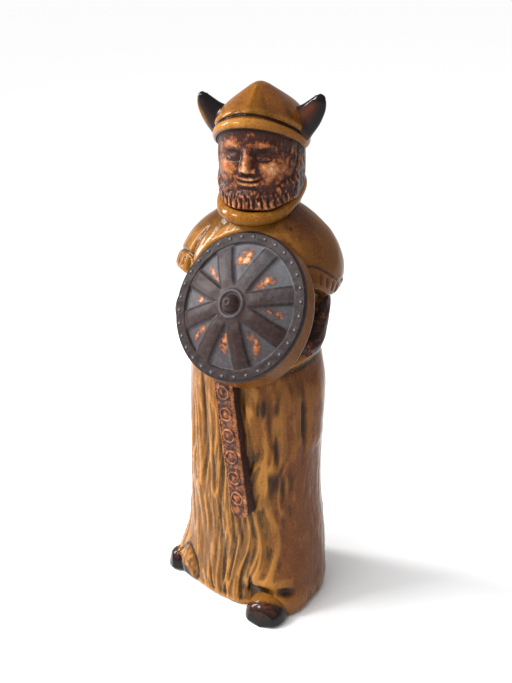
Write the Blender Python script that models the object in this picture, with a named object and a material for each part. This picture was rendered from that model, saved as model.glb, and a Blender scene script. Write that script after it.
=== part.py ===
# Viking warrior figure, slip-cast stoneware, one glazed body.
# Metres, +Z up. The figure faces -Y and its left hand is on +X.
# The origin lies on the ground, under the middle of the helmet's point.

from math import cos, pi, radians, sin

import bmesh
import bpy
import numpy as np
from mathutils import Vector

# Driving sizes
HEIGHT = 0.300
SHIELD_RADIUS = 0.0385
SHIELD_WALL = 0.0065
SHIELD_SKIRT = 0.0065
SHIELD_DOME = 0.0075
SHIELD_TILT = radians(28.0)
RIM_WIDTH = 0.0058
BOSS_RADIUS = 0.0047
BOSS_RISE = 0.0042
SPOKE_WIDTH = 0.0098
SPOKE_TURNS = [radians(turn) for turn in (-153.0, -112.0, -66.0, -18.0, 23.5, 73.0, 125.0, 166.0)]
PANEL_DEPTH = 0.0012
RIVET_RADIUS = 0.0009
SCABBARD_LENGTH = 0.088
SCABBARD_WIDTH = 0.0128
SCABBARD_RISE = 0.0062
RING_RADIUS = 0.0036
COLLAR_THICKNESS = 0.0064
SLEEVE_RISE = 0.0046
FOLD_DEPTH = 0.0021
HEAD_TURN = radians(18.0)
HEAD_TILT = radians(3.2)
RIVETS = 32

# The pose, the build and the carving are laid out in three-hundredths of the height.
U = HEIGHT / 300.0

GLAZE_COLOUR = (0.185, 0.078, 0.018, 1.0)
GLAZE_ROUGHNESS = 0.22

# Robe and chest: height, half width, half depth, centre x, centre y
BODY_SECTIONS = np.array([
    (0.0, 40.5, 31.0, -5.0, 12.0),
    (1.5, 42.0, 32.6, -5.0, 12.0),
    (6.0, 43.0, 33.6, -5.0, 12.0),
    (20.0, 42.0, 33.2, -4.0, 11.0),
    (35.0, 41.0, 32.6, -3.0, 9.5),
    (50.0, 40.0, 32.0, -2.0, 7.5),
    (70.0, 38.2, 31.4, -1.3, 5.0),
    (93.0, 37.8, 30.4, -0.5, 3.0),
    (116.0, 38.2, 29.8, 0.0, 2.4),
    (147.0, 37.6, 29.4, 0.0, 2.0),
    (156.0, 35.6, 28.8, 0.0, 2.0),
    (162.0, 33.6, 28.2, 0.0, 2.0),
    (175.0, 34.0, 28.2, 0.0, 2.0),
    (190.0, 37.4, 29.0, 0.0, 2.2),
    (203.0, 39.8, 29.4, 0.0, 2.8),
    (212.0, 38.6, 28.6, 0.0, 4.0),
    (220.0, 35.6, 27.0, 0.0, 5.2),
    (226.0, 31.8, 24.4, 0.0, 6.2),
    (231.0, 26.6, 21.4, 0.0, 6.4),
    (236.0, 20.0, 18.0, 0.0, 5.0),
    (240.0, 14.0, 13.0, 0.0, 3.0),
])

# Head under the helmet: height, half width, front depth, back depth
HEAD_SECTIONS = np.array([
    (227.0, 12.0, 12.0, 14.0),
    (233.0, 15.6, 17.4, 18.0),
    (238.0, 18.8, 21.4, 20.5),
    (244.0, 20.4, 22.6, 22.5),
    (251.0, 21.2, 22.8, 24.0),
    (259.0, 21.6, 22.8, 25.0),
    (267.0, 21.6, 22.6, 25.2),
    (276.0, 21.4, 22.6, 25.0),
])

# Helmet: height, half width
HELMET_SECTIONS = np.array([
    (266.0, 22.6),
    (277.0, 22.6),
    (281.0, 22.3),
    (284.5, 21.2),
    (288.0, 18.6),
    (291.0, 15.2),
    (294.0, 11.0),
    (297.0, 6.6),
    (299.0, 3.4),
    (299.8, 1.4),
])


def ramp(low, high, value):
    """Smooth step from 0 at low to 1 at high."""
    t = np.clip((value - low) / (high - low), 0.0, 1.0)
    return t * t * (3.0 - 2.0 * t)


def bell(offset, width):
    return np.exp(-(offset / width) ** 2)


def through(table, column, z):
    """Value of a section column at height z, on a smooth curve through the rows."""
    at = table[:, 0]
    value = table[:, column]
    slope = np.gradient(value, at)
    i = np.clip(np.searchsorted(at, z) - 1, 0, len(at) - 2)
    h = at[i + 1] - at[i]
    t = np.clip((z - at[i]) / h, 0.0, 1.0)
    a = (1 + 2 * t) * (1 - t) ** 2
    b = t * (1 - t) ** 2
    c = t * t * (3 - 2 * t)
    d = t * t * (t - 1)
    return a * value[i] + b * h * slope[i] + c * value[i + 1] + d * h * slope[i + 1]


def turned_gap(angle, centre):
    """Signed angle from centre, between minus pi and pi."""
    return (angle - centre + pi) % (2 * pi) - pi


# Robe, tunic and sleeves

def fold_carving(theta, z):
    """Wandering upright folds: narrow grooves between broad ridges, deepest low in front."""
    wander = 0.085 * np.sin(z / 19.0 + 2.0 * theta) + 0.035 * np.sin(z / 8.5 + 5.0 * theta)
    wave = np.sin(16.0 * (theta + wander)) + 0.55 * np.sin(23.0 * (theta - 0.8 * wander) + z / 30.0)
    groove = np.clip(0.5 - wave / 3.1, 0.0, 1.0) ** 1.7
    front = 0.4 + 0.6 * bell(turned_gap(theta, radians(8)), radians(80))
    height = ramp(152.0, 126.0, z) * (0.7 + 0.5 * ramp(70.0, 20.0, z)) * ramp(0.0, 7.0, z)
    return -groove * front * height


def sleeve_window(theta, side):
    return ramp(radians(78), radians(48), np.abs(turned_gap(theta, side * radians(80))))


def sleeve_hem(theta):
    """Height of the cuff's lower edge: low behind the elbow, climbing toward the front."""
    signed = turned_gap(theta, 0.0)
    left = 13.0 * ramp(radians(108), radians(68), signed) * (signed > 0)
    right = 10.0 * ramp(radians(-98), radians(-46), signed) * (signed <= 0)
    return 190.0 + (left + right) * ramp(radians(20), radians(45), np.abs(signed))


def sleeve_form(theta, z):
    """Short sleeves: a swell over the hem, a groove over the cuff and flutes under it."""
    window = np.maximum(sleeve_window(theta, 1), sleeve_window(theta, -1))
    hem = sleeve_hem(theta)
    behind = ramp(radians(88), radians(108), np.abs(turned_gap(theta, 0.0)))
    swell = ramp(hem - 1.5, hem + 1.5 + 7.0 * behind, z) * ramp(236.0, 206.0, z)
    groove = -0.22 * bell(z - hem - 11.3, 1.1)
    flare = 0.35 * bell(turned_gap(theta, radians(-62)), radians(24)) * bell(z - hem - 3.0, 6.0)
    flute_height = ramp(hem + 10.0, hem + 8.5, z) * ramp(hem + 2, hem + 4, z)
    flutes = -0.14 * (0.5 + 0.5 * np.cos(46.0 * theta)) * flute_height
    return window * (swell + groove + flutes + flare)


def blouse_hem(theta):
    """Height of the tunic's bloused edge, rising from the front to the hip."""
    return 153.5 + 7.5 * ramp(radians(20), radians(100), theta)


def drape_form(theta, z):
    """Bloused tunic, hip lobe over a slit, slits in front, hem drawn over both feet and its pockets."""
    signed = turned_gap(theta, 0.0)
    blouse_side = ramp(radians(-40), radians(-8), signed) * ramp(radians(118), radians(88), signed)
    hem = blouse_hem(signed)
    blouse = 3.8 * blouse_side * ramp(hem - 2.2, hem + 2.2, z) * ramp(192.0, 162.0, z)
    lobe_side = bell(turned_gap(theta, radians(92)), radians(15))
    lobe = 1.9 * lobe_side * ramp(106.0, 112.0, z) * ramp(156.0, 138.0, z)
    slit = -0.5 * lobe_side * bell(z - 105.0, 2.6)
    long_slit = -1.9 * bell(turned_gap(theta, radians(-17)), radians(4.2))
    long_slit = long_slit * ramp(106.0, 116.0, z) * ramp(150.0, 140.0, z)
    side_slit = -1.5 * bell(turned_gap(theta, radians(-40)), radians(4.2))
    side_slit = side_slit * ramp(88.0, 100.0, z) * ramp(148.0, 138.0, z)
    near_drape = 6.4 * bell(turned_gap(theta, radians(57)), radians(21)) * ramp(52.0, 6.0, z)
    far_drape = 6.0 * bell(turned_gap(theta, radians(-66)), radians(20)) * ramp(44.0, 8.0, z)
    pocket = -6.5 * bell(turned_gap(theta, radians(38)), radians(13)) * ramp(21.0, 13.0, z)
    far_pocket = -5.0 * bell(turned_gap(theta, radians(-66)), radians(10)) * ramp(15.0, 9.0, z)
    return blouse + lobe + slit + long_slit + side_slit + near_drape + far_drape + pocket + far_pocket


def body_point(theta, level):
    """Point of the robe and tunic at a turn and a level; levels near the cuffs follow the sleeve's hem."""
    z = level + (sleeve_hem(theta) - 190.0) * ramp(160.0, 186.0, level) * ramp(236.0, 204.0, level)
    wide = through(BODY_SECTIONS, 1, z)
    deep = through(BODY_SECTIONS, 2, z)
    x = through(BODY_SECTIONS, 3, z)
    y = through(BODY_SECTIONS, 4, z)
    power = 2.4
    radius = (np.abs(np.sin(theta) / wide) ** power + np.abs(np.cos(theta) / deep) ** power) ** (-1 / power)
    radius = radius * U + FOLD_DEPTH * fold_carving(theta, z) + SLEEVE_RISE * sleeve_form(theta, z)
    radius = radius + drape_form(theta, z) * U
    return np.stack([x * U + radius * np.sin(theta), y * U - radius * np.cos(theta), z * U], axis=1)


def body_rings(columns):
    levels = [0, 1.5, 6, 11, 16, 21, 29, 39, 54, 72, 90, 103, 109, 124, 137, 149, 153, 157, 163, 174, 184, 188.4,
              191.6, 195, 199.4, 201.4, 203.6, 210, 218, 226, 231.5, 236, 240]
    theta = np.linspace(0, 2 * pi, columns, endpoint=False)
    return [body_point(theta, level) for level in levels]


# Head and helmet

def band_low(phi):
    """Height of the brow band's lower edge: arched over the face and low at the sides."""
    return 267.0 + 13.8 * np.clip(np.cos(phi), 0, 1) ** 1.15


def face_form(phi, z):
    """A calm, regular face: brow, sockets, lids, nose, cheeks, lips and a chin beard in locks."""
    p = np.degrees(np.abs(phi))
    signed = np.degrees(phi)
    brow = 0.9 * bell(p - 20, 17) * bell(z - 271.5, 2.4)
    socket = -2.1 * bell(p - 21, 9) * bell(z - 266.8, 3.0)
    lid = 1.3 * bell(p - 21, 6) * bell(z - 266.2, 1.7)
    nose_height = 1.8 + 3.4 * ramp(271, 260.5, z)
    nose_width = 4.2 + 3.6 * ramp(266, 259.5, z)
    nose = nose_height * bell(signed, nose_width) * ramp(257.4, 260.0, z) * ramp(275, 270, z)
    cheek = 0.9 * bell(p - 33, 12) * bell(z - 260, 5)
    lip_window = ramp(19, 9, p)
    lips = lip_window * (0.75 * bell(z - 256.8, 1.1) + 0.85 * bell(z - 253.6, 1.3) - 0.7 * bell(z - 255.3, 0.7))
    top = 250.8 + 3.5 * ramp(25, 60, p)
    beard_window = ramp(66, 56, p)
    beard = beard_window * (1.5 * ramp(top + 0.8, top - 1.2, z) * ramp(233, 238, z))
    locks = beard_window * 0.55 * np.cos(np.radians(signed) * 33) * bell(z - 243.5, 5.0)
    fade = ramp(75, 60, p)
    return fade * (brow + socket + lid + nose + cheek + lips) + beard + locks


def head_skin(phi, z):
    wide = through(HEAD_SECTIONS, 1, z)
    front = through(HEAD_SECTIONS, 2, z)
    back = through(HEAD_SECTIONS, 3, z)
    deep = np.where(np.cos(phi) > 0, front, back)
    skin = (np.abs(np.sin(phi) / wide) ** 2.2 + np.abs(np.cos(phi) / deep) ** 2.2) ** (-1 / 2.2)
    return skin + face_form(phi, z)


def helmet_skin(phi, z):
    """Ridged cone with a round brow band and a groove over it."""
    dome = through(HELMET_SECTIONS, 1, z)
    stretch = np.where(np.cos(phi) > 0, 1.07, 1.14)
    plan = 1.0 / np.sqrt(np.sin(phi) ** 2 + (np.cos(phi) / stretch) ** 2)
    ridge = 1.2 * bell(turned_gap(phi, 0.0), radians(8)) * ramp(284, 289, z) * ramp(300, 297, z)
    over = z - band_low(phi)
    roll = 1.9 * np.sqrt(np.clip(1 - ((over - 2.7) / 2.7) ** 2, 0, 1))
    groove = -0.8 * bell(over - 6.1, 0.8)
    return dome * plan + ridge + roll + groove


def head_place(phi, radius, z):
    """From the head's own frame to the figure's: tilted a little to one side, then turned."""
    side = radius * np.sin(phi)
    back = -radius * np.cos(phi)
    rise = z - 255.0
    leaned = side * cos(HEAD_TILT) - rise * sin(HEAD_TILT)
    high = 255.0 + side * sin(HEAD_TILT) + rise * cos(HEAD_TILT)
    x = 0.9 + leaned * cos(HEAD_TURN) - back * sin(HEAD_TURN)
    y = 1.0 + leaned * sin(HEAD_TURN) + back * cos(HEAD_TURN)
    return np.stack([x * U, y * U, high * U + 0 * x], axis=-1)


def head_rings(front_columns, back_columns):
    skin = [0, .15, .215, .28, .353, .428, .468, .498, .526, .558, .595, .641, .697, .743, .80, .88, .997]
    band = [0.05, 1.1, 2.7, 4.3, 5.35, 6.1, 7.0]
    dome = [.26, .50, .70, .87, 1.0]
    half = radians(64)
    front = np.linspace(-half, half, front_columns, endpoint=False)
    back = np.linspace(half, 2 * pi - half, back_columns, endpoint=False)
    phi = np.concatenate([front, back])
    phi = turned_gap(phi, 0.0)
    low = band_low(phi)
    rings = []
    for share in skin:
        z = 227 + (low - 227) * share
        rings.append(head_place(phi, head_skin(phi, z), z))
    for over in band:
        rings.append(head_place(phi, helmet_skin(phi, low + over), low + over))
    for share in dome:
        z = low + 7 + (299.5 - low - 7) * share
        rings.append(head_place(phi, helmet_skin(phi, z), z))
    tip = head_place(np.zeros(1), np.zeros(1), np.full(1, 300.0))[0]
    return rings, tip


# Tubes along a path

def tube_rings(path, radii, sides, flatten=1.0, up=Vector((0, 0, 1))):
    """Rings across an open path; flatten narrows them along the side direction."""
    rings = []
    for i, point in enumerate(path):
        before = path[max(i - 1, 0)]
        after = path[min(i + 1, len(path) - 1)]
        along = (after - before).normalized()
        side = along.cross(up).normalized()
        top = side.cross(along)
        ring = []
        for k in range(sides):
            a = 2 * pi * k / sides
            ring.append(point + radii[i] * (flatten * cos(a) * side + sin(a) * top))
        rings.append(np.array([tuple(p) for p in ring]))
    return rings


def solid(name, rings, first_pole=None, last_pole=None, joined=False):
    """Closed mesh through rings of equal count, ended by poles or flat faces, or joined round."""
    mesh = bpy.data.meshes.new(name)
    bm = bmesh.new()
    rows = [[bm.verts.new(tuple(map(float, p))) for p in ring] for ring in rings]
    count = len(rows[0])
    spans = len(rows) if joined else len(rows) - 1
    for i in range(spans):
        low = rows[i]
        high = rows[(i + 1) % len(rows)]
        for k in range(count):
            m = (k + 1) % count
            bm.faces.new((low[k], low[m], high[m], high[k]))
    if not joined:
        for row, pole in ((rows[0], first_pole), (rows[-1], last_pole)):
            if pole is None:
                bm.faces.new(row)
                continue
            tip = bm.verts.new(tuple(pole))
            for k in range(count):
                bm.faces.new((row[k], row[(k + 1) % count], tip))
    bmesh.ops.recalc_face_normals(bm, faces=bm.faces)
    if bm.calc_volume(signed=True) < 0:
        bmesh.ops.reverse_faces(bm, faces=bm.faces)
    bm.to_mesh(mesh)
    bm.free()
    obj = bpy.data.objects.new(name, mesh)
    bpy.context.scene.collection.objects.link(obj)
    return obj


def helper(obj):
    obj.hide_render = True
    obj.display_type = "WIRE"
    return obj


# Sub-forms

def make_body():
    return solid("viking_figure", body_rings(64))


def make_head():
    rings, tip = head_rings(26, 12)
    return helper(solid("head_form", rings, last_pole=tip))


def make_collar():
    """Cowl: a round roll lying about the neck, low in front."""
    sides = 6
    count = 30
    rings = []
    for i in range(count):
        phi = 2 * pi * i / count
        c = cos(phi)
        out = (18.6 + 4.2 * c * c * (1.1 if c > 0 else 0.6)) * U
        z = (242.5 - 7.5 * c) * U
        turn = phi + HEAD_TURN * 0.8
        away = Vector((sin(turn), -cos(turn), 0))
        centre = Vector((0.3 * U, 1.0 * U, z)) + away * out
        thick = float(COLLAR_THICKNESS / 2 * (1.0 + 0.35 * bell(turned_gap(phi, radians(150)), 0.5)))
        ring = []
        for k in range(sides):
            a = 2 * pi * k / sides
            ring.append(tuple(centre + thick * (cos(a) * away + 1.15 * sin(a) * Vector((0, 0, 1)))))
        rings.append(np.array(ring))
    return helper(solid("collar_form", rings, joined=True))


def make_horn(side):
    """Stout horn, flat from front to back, rising out of the helmet's side."""
    stations = [(12, 276.8, 9.0), (18.5, 279.0, 8.8), (23.4, 281.8, 7.6), (27.2, 285.6, 6.0), (29.6, 289.2, 4.6),
                (30.6, 291.6, 3.1)]
    turn = np.full(1, side * pi / 2)
    path = [Vector(head_place(turn, np.full(1, out), np.full(1, z))[0]) for out, z, r in stations]
    radii = [r * U for out, z, r in stations]
    forward = Vector((sin(HEAD_TURN), -cos(HEAD_TURN), 0))
    rings = tube_rings(path, radii, 8, up=forward)
    for ring, point in zip(rings, path):
        offset = ring - np.array(point)
        f = np.array(forward)
        ring -= 0.38 * (offset @ f)[:, None] * f
    tip = path[-1] + (path[-1] - path[-2]).normalized() * 2.0 * U
    name = "horn_form_left" if side > 0 else "horn_form_right"
    return helper(solid(name, rings, last_pole=tip))


def shield_frame():
    """Centre of the rim's plane, its two axes in the plane and its outward normal."""
    centre = Vector((15.0, -36.1, 194.8)) * U
    normal = Vector((0, -cos(SHIELD_TILT), sin(SHIELD_TILT)))
    across = Vector((1, 0, 0))
    return centre, across, normal.cross(across), normal


def spoke_half_angle(r):
    """Half the angle that a spoke takes up at this radius: broad at the rim, all round at the boss."""
    width = SPOKE_WIDTH * (0.62 + 0.38 * r / SHIELD_RADIUS)
    return min(width / 2 / r, radians(18.0))


def shield_relief(angle, r):
    """Height of the shield's face over the rim's plane: dome, sunk panels, flat rim and boss."""
    inner = SHIELD_RADIUS - RIM_WIDTH
    dome = SHIELD_DOME * max(0.0, 1 - (r / inner) ** 2)
    gap = min(abs(turned_gap(angle, turn)) for turn in SPOKE_TURNS)
    edge = spoke_half_angle(r)
    deep = ramp(BOSS_RADIUS * 1.9, BOSS_RADIUS * 2.9, r) * ramp(inner + 0.0001, inner - 0.0008, r)
    panel = deep * ramp(0.0, 0.0011 / r, gap - edge)
    boss = BOSS_RISE * np.sqrt(max(0.0, 1 - (r / BOSS_RADIUS) ** 2))
    ring = 0.0009 * bell(r - BOSS_RADIUS * 1.42, BOSS_RADIUS * 0.2)
    lip = 0.0006 * ramp(inner - 0.0006, inner + 0.0004, r)
    return float(dome - PANEL_DEPTH * panel + boss + ring + lip)


def shield_columns(r):
    """Angles round the shield at one radius, on both edges of every spoke and in the middle of each panel."""
    edge = spoke_half_angle(r)
    slope = min(0.0011 / r, radians(1.2))
    angles = []
    for i, middle in enumerate(SPOKE_TURNS):
        room = (SPOKE_TURNS[(i + 1) % len(SPOKE_TURNS)] - middle) % (2 * pi)
        angles += [middle - edge, middle, middle + edge, middle + edge + slope, middle + room / 2,
                   middle + room - edge - slope]
    return angles


def wall_depth(angle):
    """Depth of the shield's side: the skirt grows toward the lower left of the bearer."""
    return SHIELD_WALL + SHIELD_SKIRT * float(bell(turned_gap(angle, radians(-68)), radians(48)))


def make_shield():
    centre, across, up, normal = shield_frame()
    inner = SHIELD_RADIUS - RIM_WIDTH
    face = [BOSS_RADIUS * 0.6, BOSS_RADIUS, BOSS_RADIUS * 1.42, BOSS_RADIUS * 2.6, inner * 0.62, inner - 0.0010,
            inner + 0.0004, SHIELD_RADIUS - 0.0008]

    def place(angle, r, height):
        return tuple(centre + r * (cos(angle) * across + sin(angle) * up) + height * normal)

    rings = []
    for r in face:
        rings.append(np.array([place(a, r, shield_relief(a, r)) for a in shield_columns(r)]))
    columns = shield_columns(SHIELD_RADIUS)
    rings.append(np.array([place(a, SHIELD_RADIUS, -0.0008) for a in columns]))
    rings.append(np.array([place(a, SHIELD_RADIUS + 0.1 * wall_depth(a), -wall_depth(a)) for a in columns]))
    rings.append(np.array([place(a, SHIELD_RADIUS * 0.97, -wall_depth(a) - 0.0022) for a in columns]))
    rings.append(np.array([place(a, SHIELD_RADIUS * 0.66, -SHIELD_WALL - SHIELD_SKIRT - 21 * U) for a in columns]))
    tip = centre + normal * float(SHIELD_DOME + BOSS_RISE + 0.0002)
    return helper(solid("shield_form", rings, first_pole=tip))


def make_rivets():
    """Small round studs along the rim, each a low cone sunk into it."""
    centre, across, up, normal = shield_frame()
    made = []
    r = SHIELD_RADIUS - RIM_WIDTH * 0.5
    for i in range(RIVETS):
        a = 2 * pi * (i + 0.5) / RIVETS
        base = centre + r * (cos(a) * across + sin(a) * up)
        height = shield_relief(a, r)
        ring_low = []
        ring_top = []
        for k in range(4):
            b = 2 * pi * k / 4 + a
            spoke = cos(b) * across + sin(b) * up
            ring_low.append(tuple(base + spoke * RIVET_RADIUS * 1.15 + normal * (height - 0.0012)))
            ring_top.append(tuple(base + spoke * RIVET_RADIUS * 0.7 + normal * (height + 0.0006)))
        made.append((np.array(ring_low), np.array(ring_top)))
    mesh = bpy.data.meshes.new("rivet_forms")
    bm = bmesh.new()
    for low, top in made:
        a = [bm.verts.new(tuple(map(float, p))) for p in low]
        b = [bm.verts.new(tuple(map(float, p))) for p in top]
        bm.faces.new(a)
        bm.faces.new(b)
        for k in range(4):
            m = (k + 1) % 4
            bm.faces.new((a[k], a[m], b[m], b[k]))
    bmesh.ops.recalc_face_normals(bm, faces=bm.faces)
    bm.to_mesh(mesh)
    bm.free()
    obj = bpy.data.objects.new("rivet_forms", mesh)
    bpy.context.scene.collection.objects.link(obj)
    return helper(obj)


def scabbard_frame():
    """Lower tip on the face of the scabbard, the way up along it and its outward normal."""
    tip = Vector((14.6, -31.2, 68.5)) * U
    upper = Vector((2.2, -32.8, 148.5)) * U
    along = (upper - tip).normalized()
    normal = Vector((0, -1, 0))
    normal = (normal - along * normal.dot(along)).normalized()
    return tip, along, along.cross(normal), normal


def make_scabbard():
    """Flat strap-like scabbard with a rounded tip, standing proud of the robe."""
    tip, along, across, normal = scabbard_frame()
    rings = []
    half = SCABBARD_WIDTH / 2
    stations = [0.0, 0.0012, 0.0030, 0.0055, 0.009, SCABBARD_LENGTH * 0.4, SCABBARD_LENGTH * 0.7, SCABBARD_LENGTH]
    for s in stations:
        round_end = np.sqrt(np.clip(1 - (1 - min(s, 0.0062) / 0.0062) ** 2, 0.02, 1))
        w = half * (0.88 + 0.12 * s / SCABBARD_LENGTH) * round_end
        depth = SCABBARD_RISE + 5 * U
        flat = w - 0.0011 * round_end
        section = [(-w, -depth), (-w, -0.0012), (-flat, 0.0), (0.0, 0.0004), (flat, 0.0), (w, -0.0012), (w, -depth)]
        rings.append(np.array([tuple(tip + along * s + across * a + normal * b) for a, b in section]))
    return helper(solid("scabbard_form", rings))


def make_ring(index, count):
    """Ring ornament on the scabbard: a low round roll with a dot inside."""
    tip, along, across, normal = scabbard_frame()
    s = 0.012 + (SCABBARD_LENGTH - 0.018) * index / (count - 0.4)
    centre = tip + along * s + normal * 0.0002
    rings = []
    for i in range(10):
        a = 2 * pi * i / 10
        away = cos(a) * across + sin(a) * along
        ring = []
        for k in range(3):
            b = 2 * pi * k / 3 + pi / 2
            ring.append(tuple(centre + away * (RING_RADIUS + 0.0009 * cos(b)) + normal * 0.0009 * sin(b)))
        rings.append(np.array(ring))
    roll = helper(solid("ring_form_%d" % index, rings, joined=True))
    turns = [2 * pi * k / 6 for k in range(6)]
    dot = []
    for r, h in ((0.0014, -0.001), (0.0012, 0.0006)):
        middle = centre + h * normal
        dot.append(np.array([tuple(middle + r * (cos(a) * across + sin(a) * along)) for a in turns]))
    return [roll, helper(solid("dot_form_%d" % index, dot))]


def make_forearm(side):
    """Forearm from the sleeve forward and down to the shield's edge."""
    if side > 0:
        path = [(32.0, 9.0, 199.0), (35.0, 6.0, 190.0), (39.0, -2.0, 181.0), (42.5, -11.0, 175.0),
                (43.5, -18.0, 173.0)]
        radii = [6.2, 6.6, 6.4, 6.0, 4.6]
        name = "forearm_form_left"
    else:
        path = [(-33.0, 4.0, 202.0), (-35.0, -1.0, 193.0), (-34.0, -12.0, 184.0), (-30.0, -22.0, 179.0),
                (-26.0, -29.0, 178.0)]
        radii = [6.5, 6.8, 6.8, 6.8, 5.0]
        name = "forearm_form_right"
    rings = tube_rings([Vector(p) * U for p in path], [r * U for r in radii], 8)
    return helper(solid(name, rings))


def make_shoe(side):
    """Round-toed shoe under the hem, flat just clear of the ground."""
    if side > 0:
        heel, toe, wide, name = Vector((22.4, -4.0)), Vector((28.3, -29.6)), 12.4, "shoe_form_left"
    else:
        heel, toe, wide, name = Vector((-30.0, 6.0)), Vector((-51.5, -14.5)), 9.0, "shoe_form_right"
    along = (toe - heel).normalized()
    across = Vector((-along.y, along.x))
    length = (toe - heel).length
    rings = []
    for share in (0.0, 0.3, 0.55, 0.75, 0.88, 0.96):
        body = np.sqrt(max(0.0, 1 - max(0.0, (share - 0.55) / 0.45) ** 2.2))
        w = wide * (0.35 + 0.65 * body) * (0.9 + 0.1 * share)
        high = 3.0 + 9.5 * body
        ring = []
        for k in range(10):
            a = 2 * pi * k / 10
            lateral = cos(a) * w * (1.0 if sin(a) >= 0 else 0.9)
            z = 0.2 + high * max(sin(a), 0.0) + 2.2 * (1 + min(sin(a), 0.0))
            spot = heel + along * length * share + across * lateral
            ring.append((spot.x * U, spot.y * U, z * U))
        rings.append(np.array(ring))
    tip = Vector((toe.x, toe.y, 3.4)) * U
    return helper(solid(name, rings, last_pole=tip))


def join(target, helpers):
    for form in helpers:
        fuse = target.modifiers.new("with_" + form.name, "BOOLEAN")
        fuse.operation = "UNION"
        fuse.solver = "EXACT"
        fuse.object = form


def glaze():
    material = bpy.data.materials.new("brown_glaze")
    material.use_nodes = True
    shader = material.node_tree.nodes["Principled BSDF"]
    shader.inputs["Base Color"].default_value = GLAZE_COLOUR
    shader.inputs["Roughness"].default_value = GLAZE_ROUGHNESS
    shader.inputs["Metallic"].default_value = 0.0
    return material


def main():
    for obj in list(bpy.data.objects):
        bpy.data.objects.remove(obj)
    figure = make_body()
    forms = [make_head(), make_collar(), make_horn(1), make_horn(-1), make_forearm(1), make_forearm(-1),
             make_shield(), make_rivets(), make_scabbard(), make_shoe(1), make_shoe(-1)]
    for index in range(6):
        forms.extend(make_ring(index, 6))
    join(figure, forms)
    figure.data.materials.append(glaze())
    figure.data.shade_smooth()
    figure.data.set_sharp_from_angle(angle=radians(40))


main()
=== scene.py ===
import functools
import bpy
import numpy as np
from math import cos, pi, radians, sin
from mathutils import Matrix


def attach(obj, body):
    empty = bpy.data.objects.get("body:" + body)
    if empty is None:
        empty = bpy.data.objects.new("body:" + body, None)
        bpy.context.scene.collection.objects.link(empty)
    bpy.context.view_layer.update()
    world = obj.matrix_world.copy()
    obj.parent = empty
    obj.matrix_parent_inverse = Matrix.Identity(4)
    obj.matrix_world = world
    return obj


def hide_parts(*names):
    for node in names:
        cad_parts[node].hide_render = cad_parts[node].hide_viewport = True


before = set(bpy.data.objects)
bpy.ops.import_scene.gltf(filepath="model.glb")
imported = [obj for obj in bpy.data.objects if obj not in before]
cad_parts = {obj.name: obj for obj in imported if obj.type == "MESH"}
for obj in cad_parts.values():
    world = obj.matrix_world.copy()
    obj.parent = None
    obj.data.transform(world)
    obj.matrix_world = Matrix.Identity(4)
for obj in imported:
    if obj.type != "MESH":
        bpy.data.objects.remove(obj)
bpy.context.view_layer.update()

# Viking warrior figure: slip-cast stoneware under an amber-brown glaze.
# The figure faces -Y, its left hand is on +X. Layout values are in millimetres.
mm = 0.001
headTurn = radians(18)
headTilt = radians(3.2)


# Small helpers

def held(value):
    # the value, kept between 0 and 1
    return np.clip(value, 0, 1)


def ramp(low, high, value):
    # smooth step: 0 at low, 1 at high, eased with 3t^2 - 2t^3
    t = held((value - low) / (high - low))
    return t * t * (3 - 2 * t)


def bell(offset, width):
    # 1 in the middle, falling off as exp(-(offset/width)^2)
    return np.exp(-(offset / width) ** 2)


def turnedGap(angle, centre=0):
    # signed angle from a centre in degrees, kept between minus pi and pi
    return (angle - radians(centre) + pi) % (2 * pi) - pi


def span(value, zeroA, oneA, zeroB, oneB):
    # product of two ramps over one value, each 0 at its zero and 1 at its one
    return ramp(zeroA, oneA, value) * ramp(zeroB, oneB, value)


def turnBell(angle, centre, width):
    # bell over an angle, with its centre and width in degrees
    return bell(turnedGap(angle, centre), radians(width))


def turnRamp(low, high, angle):
    # smooth step over an angle, from low to high in degrees
    return ramp(radians(low), radians(high), angle)


def fullTurn(count):
    # even angles once round, without the last
    return np.linspace(0, 2 * pi, count, endpoint=False)


def bumps(table, turn, z):
    # for each row: rise times a bell over the turn times a bell over the height, all added
    return sum(rise * bell(turn - at, wide) * bell(z - height, tall)
               for rise, at, wide, height, tall in table)


def most(*masks):
    # the largest of the masks at every point
    return functools.reduce(np.maximum, masks)


def unit(vector):
    # the vector divided by its own length
    return vector / np.linalg.norm(vector, axis=-1, keepdims=True)


def ovalRadius(angle, wide, deep, power):
    # radius r of the rounded oval |r sin / wide|^power + |r cos / deep|^power = 1
    return (np.abs(np.sin(angle) / wide) ** power + np.abs(np.cos(angle) / deep) ** power) ** (-1 / power)


def through(table, column, z):
    # cubic curve through a column of the table, read at height z
    at = table[:, 0]
    value = table[:, column]
    slope = np.gradient(value, at)
    i = np.clip(np.searchsorted(at, z) - 1, 0, len(at) - 2)
    h = at[i + 1] - at[i]
    t = held((z - at[i]) / h)
    return ((1 + 2 * t) * (1 - t) ** 2 * value[i] + t * (1 - t) ** 2 * h * slope[i]
            + t * t * (3 - 2 * t) * value[i + 1] + t * t * (t - 1) * h * slope[i + 1])


def valueNoise(x, y, seed, period=64):
    # smooth random values between -1 and 1 on a unit lattice, eased between its corners
    table = np.random.default_rng(seed).uniform(-1, 1, (period, 64))
    xi = np.floor(x).astype(int)
    yi = np.floor(y).astype(int)
    fx = ramp(0, 1, x - xi)
    fy = ramp(0, 1, y - yi)
    a = table[xi % period, yi % 64]
    b = table[(xi + 1) % period, yi % 64]
    c = table[xi % period, (yi + 1) % 64]
    d = table[(xi + 1) % period, (yi + 1) % 64]
    return (a * (1 - fx) + b * fx) * (1 - fy) + (c * (1 - fx) + d * fx) * fy


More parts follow.
